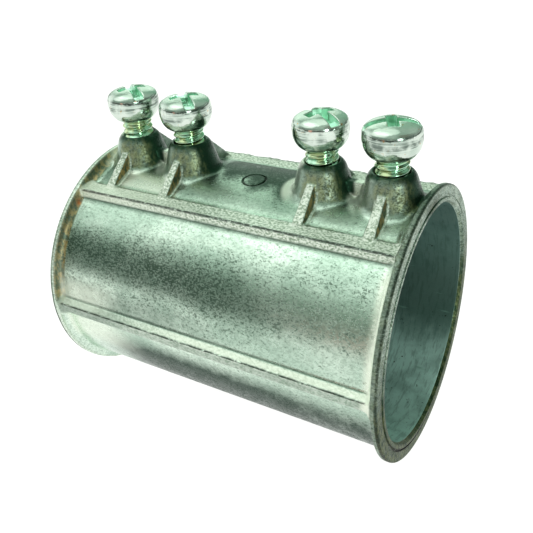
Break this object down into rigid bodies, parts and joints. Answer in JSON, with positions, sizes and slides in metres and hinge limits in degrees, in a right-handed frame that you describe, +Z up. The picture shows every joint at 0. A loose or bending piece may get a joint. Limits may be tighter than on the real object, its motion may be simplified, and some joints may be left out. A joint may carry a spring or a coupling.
{
  "type": "set-screw conduit coupling",
  "caption": "Die-cast coupling for thin-wall conduit: a round tube with rimmed mouths, side fins, upper ledges and tapered bosses that hold domed combination-head set screws.",
  "frame": {"origin": "middle of the bore's axis, at the centre of the stop ring", "axes": "+X along the bore towards the right-hand mouth, +Z up along the set screws, +Y to the back"},
  "size_m": [0.0712, 0.0518, 0.0656],
  "materials": {
    "cast_zinc": "satin",
    "plated_steel": "polished"
  },
  "bodies": {
    "casting": {"coupling_body": "cast_zinc"},
    "screw_1_advance": {"set_screw_point_1": "plated_steel"},
    "screw_1_turn": {"set_screw_1": "plated_steel"},
    "screw_2_advance": {"set_screw_point_2": "plated_steel"},
    "screw_2_turn": {"set_screw_2": "plated_steel"},
    "screw_3_advance": {"set_screw_point_3": "plated_steel"},
    "screw_3_turn": {"set_screw_3": "plated_steel"},
    "screw_4_advance": {"set_screw_point_4": "plated_steel"},
    "screw_4_turn": {"set_screw_4": "plated_steel"}
  },
  "joints": [
    {"name": "screw_1_travel", "type": "slide", "parent": "casting", "child": "screw_1_advance", "axis": [0, 0, 1], "range_m": [-0.00298, 0.00381]},
    {"name": "screw_1_thread", "type": "hinge", "parent": "screw_1_advance", "child": "screw_1_turn", "pos_m": [-0.02825, 0, 0.03], "axis": [0, 0, 1], "range_deg": [-846, 1080]},
    {"name": "screw_2_travel", "type": "slide", "parent": "casting", "child": "screw_2_advance", "axis": [0, 0, 1], "range_m": [-0.00254, 0.00381]},
    {"name": "screw_2_thread", "type": "hinge", "parent": "screw_2_advance", "child": "screw_2_turn", "pos_m": [-0.0149, 0, 0.03], "axis": [0, 0, 1], "range_deg": [-720, 1080]},
    {"name": "screw_3_travel", "type": "slide", "parent": "casting", "child": "screw_3_advance", "axis": [0, 0, 1], "range_m": [-0.00241, 0.00381]},
    {"name": "screw_3_thread", "type": "hinge", "parent": "screw_3_advance", "child": "screw_3_turn", "pos_m": [0.0149, 0, 0.03], "axis": [0, 0, 1], "range_deg": [-684, 1080]},
    {"name": "screw_4_travel", "type": "slide", "parent": "casting", "child": "screw_4_advance", "axis": [0, 0, 1], "range_m": [-0.00241, 0.00381]},
    {"name": "screw_4_thread", "type": "hinge", "parent": "screw_4_advance", "child": "screw_4_turn", "pos_m": [0.02825, 0, 0.03], "axis": [0, 0, 1], "range_deg": [-684, 1080]}
  ],
  "couplings": [
    {"joint": "screw_1_thread", "follows": "screw_1_travel", "rad_per_m": 4947.4},
    {"joint": "screw_2_thread", "follows": "screw_2_travel", "rad_per_m": 4947.4},
    {"joint": "screw_3_thread", "follows": "screw_3_travel", "rad_per_m": 4947.4},
    {"joint": "screw_4_thread", "follows": "screw_4_travel", "rad_per_m": 4947.4}
  ]
}
